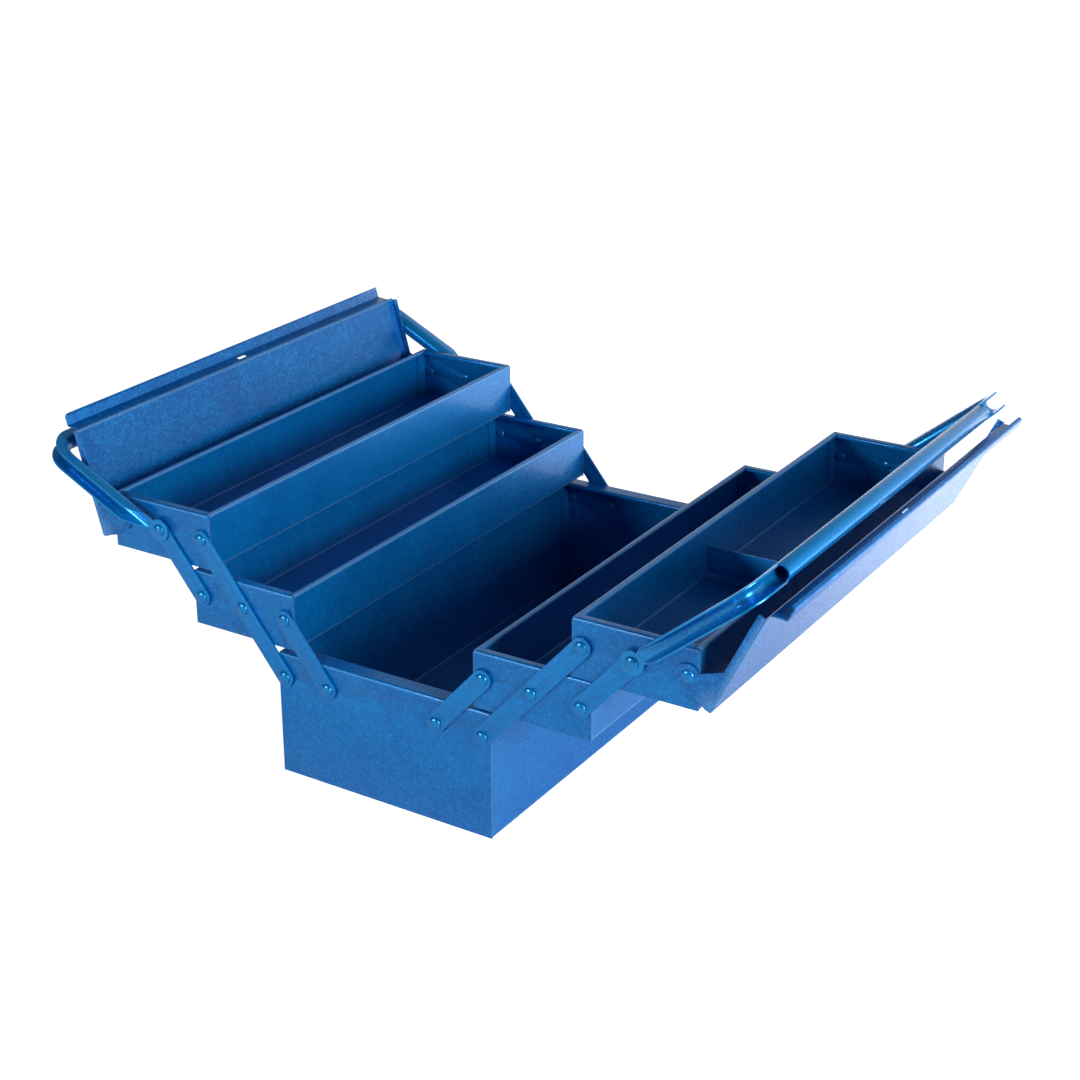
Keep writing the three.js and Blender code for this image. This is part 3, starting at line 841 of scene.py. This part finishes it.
def add_lid(side, sign):
    lid = moved(lid_in_hinge_frame(), Matrix.Scale(-1, 4, (1, 0, 0)))
    opened = math.pi - math.radians(LID_ANGLE[side])
    placed(lid, side, sign, pivots[f"{side}_lid_hinge"], opened)
    lid.name = f"{side}_lid_sheet"
    finished(lid, f"{side}_lid", FINISH["lid"], [f"{side}_lid"])
    pins = rivet_row(f"{side}_lid_pins", [(*pivots[f"{side}_lid_hinge"], EAR_OUTER)])
    for polygon in pins.data.polygons:
        polygon.use_smooth = True
    pins.data.set_sharp_from_angle(angle=math.radians(32))
    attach(pins, f"{side}_lid")


# ============================ handles ============================

def arm_path(arm_start, bend_steps=14):
    """Stations (point, heading) up the front arm, round its bend and to the mouth of the grip."""
    stations = [(Vector((arm_start, -ARM_Y, 0)), 0.0)]
    for k in range(bend_steps + 1):
        turn = k / bend_steps * math.pi / 2
        x = HANDLE_REACH - HANDLE_BEND * (1 - math.sin(turn))
        stations.append((Vector((x, -ARM_Y + HANDLE_BEND * (1 - math.cos(turn)), 0)), turn))
    return stations + [(Vector((HANDLE_REACH, -MOUTH_Y + SHEET, 0)), math.pi / 2)]


def open_arm():
    """The tube left open along its outer side, with its edges standing straight."""
    bore = GRIP_RADIUS - HANDLE_WALL
    outline = [(GRIP_RADIUS, -CHANNEL_DEPTH)] + arc((0, 0), GRIP_RADIUS, 0, 180, 20)
    outline += [(-GRIP_RADIUS, -CHANNEL_DEPTH), (-bore, -CHANNEL_DEPTH)]
    outline += arc((0, 0), bore, 180, 0, 20) + [(bore, -CHANNEL_DEPTH)]
    section = [(Vector(p), 0.0) for p in outline]

    def place(u, v, station):
        point, turn = station
        return point + Vector((-math.sin(turn), math.cos(turn), 0)) * v + Vector((0, 0, u))

    return swept("arm", section, [(station, 0.0) for station in arm_path(EYE_RADIUS / 2)], place)


def flat_cutter(outline):
    section = [(Vector(p), 0.0) for p in outline]
    depth = 2 * GRIP_RADIUS
    return swept("cutter", section, [(-depth, 0.0), (depth, 0.0)], lambda u, v, s: (u, v, s))


def channel_cutters():
    """Everything beyond the channel's edges: they rise from the eye and run down to the mouth."""
    start, stop = -2 * EYE_RADIUS, HANDLE_REACH + 3 * GRIP_RADIUS
    far = -ARM_Y - 3 * GRIP_RADIUS
    edge = HANDLE_REACH + GRIP_RADIUS
    rise = [(start, -EYE_OUTER), (CHANNEL_START, -EYE_OUTER)]
    for k in range(1, 9):
        share = k / 8
        ease = share * share * (3 - 2 * share)
        rise.append((CHANNEL_START + (CHANNEL_FULL - CHANNEL_START) * share,
                     -EYE_OUTER - (RIM_Y - EYE_OUTER) * ease))
    rise += [(CHANNEL_FULL, far), (start, far)]
    mouth = []
    for k in range(9):
        share = k / 8
        ease = share * share
        mouth.append((edge - (GRIP_RADIUS - MOUTH_EDGE) * ease, -MOUTH_Y - MOUTH_TAPER * (1 - share)))
    past = -MOUTH_Y + 2 * SHEET
    mouth += [(HANDLE_REACH + MOUTH_EDGE, past), (stop, past), (stop, -MOUTH_Y - MOUTH_TAPER)]
    return [flat_cutter(rise), flat_cutter(mouth)]


def closed_grip():
    """The closed tube between the two mouths, as an open-ended pipe with a wall."""
    bm = bmesh.new()
    sides, bore = 40, GRIP_RADIUS - HANDLE_WALL
    loop = [(-MOUTH_Y, GRIP_RADIUS), (MOUTH_Y, GRIP_RADIUS), (MOUTH_Y, bore), (-MOUTH_Y, bore)]
    rings = []
    for y, radius in loop:
        rings.append([bm.verts.new((HANDLE_REACH + radius * math.cos(2 * math.pi * k / sides), y,
                                    radius * math.sin(2 * math.pi * k / sides))) for k in range(sides)])
    for a, b in zip(rings, rings[1:] + rings[:1]):
        for i in range(sides):
            j = (i + 1) % sides
            bm.faces.new((a[i], a[j], b[j], b[i]))
    return new_object("grip", bm)


def handle_in_pivot_frame():
    arm = combined(open_arm(), channel_cutters(), "DIFFERENCE")
    eye = plate("eye", arc((0, 0), EYE_RADIUS, 0, 350, 35), -EYE_OUTER, -EYE_INNER)
    parts = [arm, mirror_copy(arm, (0, 1, 0)), eye, mirror_copy(eye, (0, 1, 0))]
    tube = combined(closed_grip(), parts, "UNION")
    holes = hole_cutters([(0, 0)], -EYE_OUTER - 1, -EYE_INNER + 1)
    tube = combined(tube, holes + [mirror_copy(holes[0], (0, 1, 0))], "DIFFERENCE")
    return softened(tube, 0.3)


def add_handle(side, sign):
    handle = handle_in_pivot_frame()
    raised = -math.radians(HANDLE_ANGLE[side])
    placed(handle, side, sign, pivots[f"{side}_handle_swing"], raised)
    handle.name = f"{side}_handle_tube"
    finished(handle, f"{side}_handle", FINISH["handle"], [f"{side}_handle"])


# ============================ stage ============================

def direction(azimuth, elevation):
    """Unit vector from the box towards a viewpoint; azimuth 0 is straight in front."""
    a, e = math.radians(azimuth), math.radians(elevation)
    return Vector((math.sin(a) * math.cos(e), -math.cos(a) * math.cos(e), math.sin(e)))


def add_camera():
    azimuth, elevation, roll = CAMERA_ANGLES
    away = direction(azimuth, elevation)
    data = bpy.data.cameras.new("camera")
    data.lens, data.sensor_width = CAMERA_LENS, 36.0
    data.shift_x, data.shift_y = CAMERA_SHIFT
    camera = bpy.data.objects.new("camera", data)
    camera.location = Vector(CAMERA_TARGET) + away * CAMERA_DISTANCE
    look = (-away).to_track_quat("-Z", "Y").to_matrix().to_4x4()
    camera.rotation_euler = (look @ Matrix.Rotation(math.radians(roll), 4, "Z")).to_euler()
    bpy.context.scene.collection.objects.link(camera)
    bpy.context.scene.camera = camera


def add_floor():
    """Pale floor. In reflections only, it glows behind the box and to its right."""
    mesh = bpy.data.meshes.new("floor")
    r = FLOOR_REACH
    mesh.from_pydata([(-r, -r, 0), (r, -r, 0), (r, r, 0), (-r, r, 0)], [], [(0, 1, 2, 3)])
    floor = bpy.data.objects.new("floor", mesh)
    bpy.context.scene.collection.objects.link(floor)
    material = bpy.data.materials.new("pale_floor")
    material.use_nodes = True
    tree = material.node_tree
    shader = tree.nodes["Principled BSDF"]
    shader.inputs["Base Color"].default_value = FLOOR_COLOUR
    shader.inputs["Roughness"].default_value = 0.9
    shader.inputs["Specular IOR Level"].default_value = 0.1
    shader.inputs["Emission Color"].default_value = (1, 1, 1, 1)
    seen = tree.nodes.new("ShaderNodeLightPath").outputs["Is Camera Ray"]
    split = tree.nodes.new("ShaderNodeSeparateXYZ")
    tree.links.new(tree.nodes.new("ShaderNodeTexCoord").outputs["Object"], split.inputs[0])
    behind = maths(tree, "ADD", maths(tree, "MULTIPLY", split.outputs[0], 0.6), split.outputs[1])
    backdrop = ramp(tree, behind, BACKDROP_START, BACKDROP_FULL, 0.0, BACKDROP_GLOW)
    here = ramp(tree, seen, 0.0, 1.0, 0.0, FLOOR_GLOW)
    unseen = maths(tree, "SUBTRACT", 1.0, seen)
    glow = maths(tree, "ADD", here, maths(tree, "MULTIPLY", backdrop, unseen))
    tree.links.new(glow, shader.inputs["Emission Strength"])
    mesh.materials.append(material)


def add_light(name, azimuth, elevation, distance, size, power):
    away = direction(azimuth, elevation)
    data = bpy.data.lights.new(name, "AREA")
    data.shape, data.size, data.energy = "DISK", size, power
    light = bpy.data.objects.new(name, data)
    light.location = Vector((0, 0, LIGHT_AIM_HEIGHT)) + away * distance
    light.rotation_euler = (-away).to_track_quat("-Z", "Y").to_euler()
    bpy.context.scene.collection.objects.link(light)


def add_world():
    """White to the camera. It lights the box brightly from behind, dimly from front and above."""
    world = bpy.data.worlds.new("studio")
    bpy.context.scene.world = world
    world.use_nodes = True
    tree = world.node_tree
    way = tree.nodes.new("ShaderNodeTexCoord").outputs["Generated"]
    split = tree.nodes.new("ShaderNodeSeparateXYZ")
    tree.links.new(way, split.inputs[0])
    behind = maths(tree, "ADD", maths(tree, "MULTIPLY", split.outputs[0], 0.5), split.outputs[1])
    level = ramp(tree, behind, -0.6, 0.8, WORLD_FRONT, WORLD_BACK)
    above = ramp(tree, split.outputs[2], 0.2, 0.9, 1.0, WORLD_OVERHEAD)
    around = maths(tree, "MULTIPLY", level, above)
    seen = tree.nodes.new("ShaderNodeLightPath").outputs["Is Camera Ray"]
    strength = maths(tree, "MAXIMUM", around, seen)
    background = tree.nodes["Background"]
    background.inputs["Color"].default_value = (1, 1, 1, 1)
    tree.links.new(strength, background.inputs["Strength"])


def add_stage():
    add_camera()
    add_floor()
    add_world()
    for light in LIGHTS:
        add_light(*light)
    bpy.context.scene.view_settings.view_transform = "Standard"


# ============================ the toolbox ============================

add_stage()
add_base()
for side, sign in SIDES:
    for level in ("lower", "upper"):
        add_tray(side, level)
    add_links(side)
    add_lid(side, sign)
    add_handle(side, sign)
add_divider()
add_all_rivets()
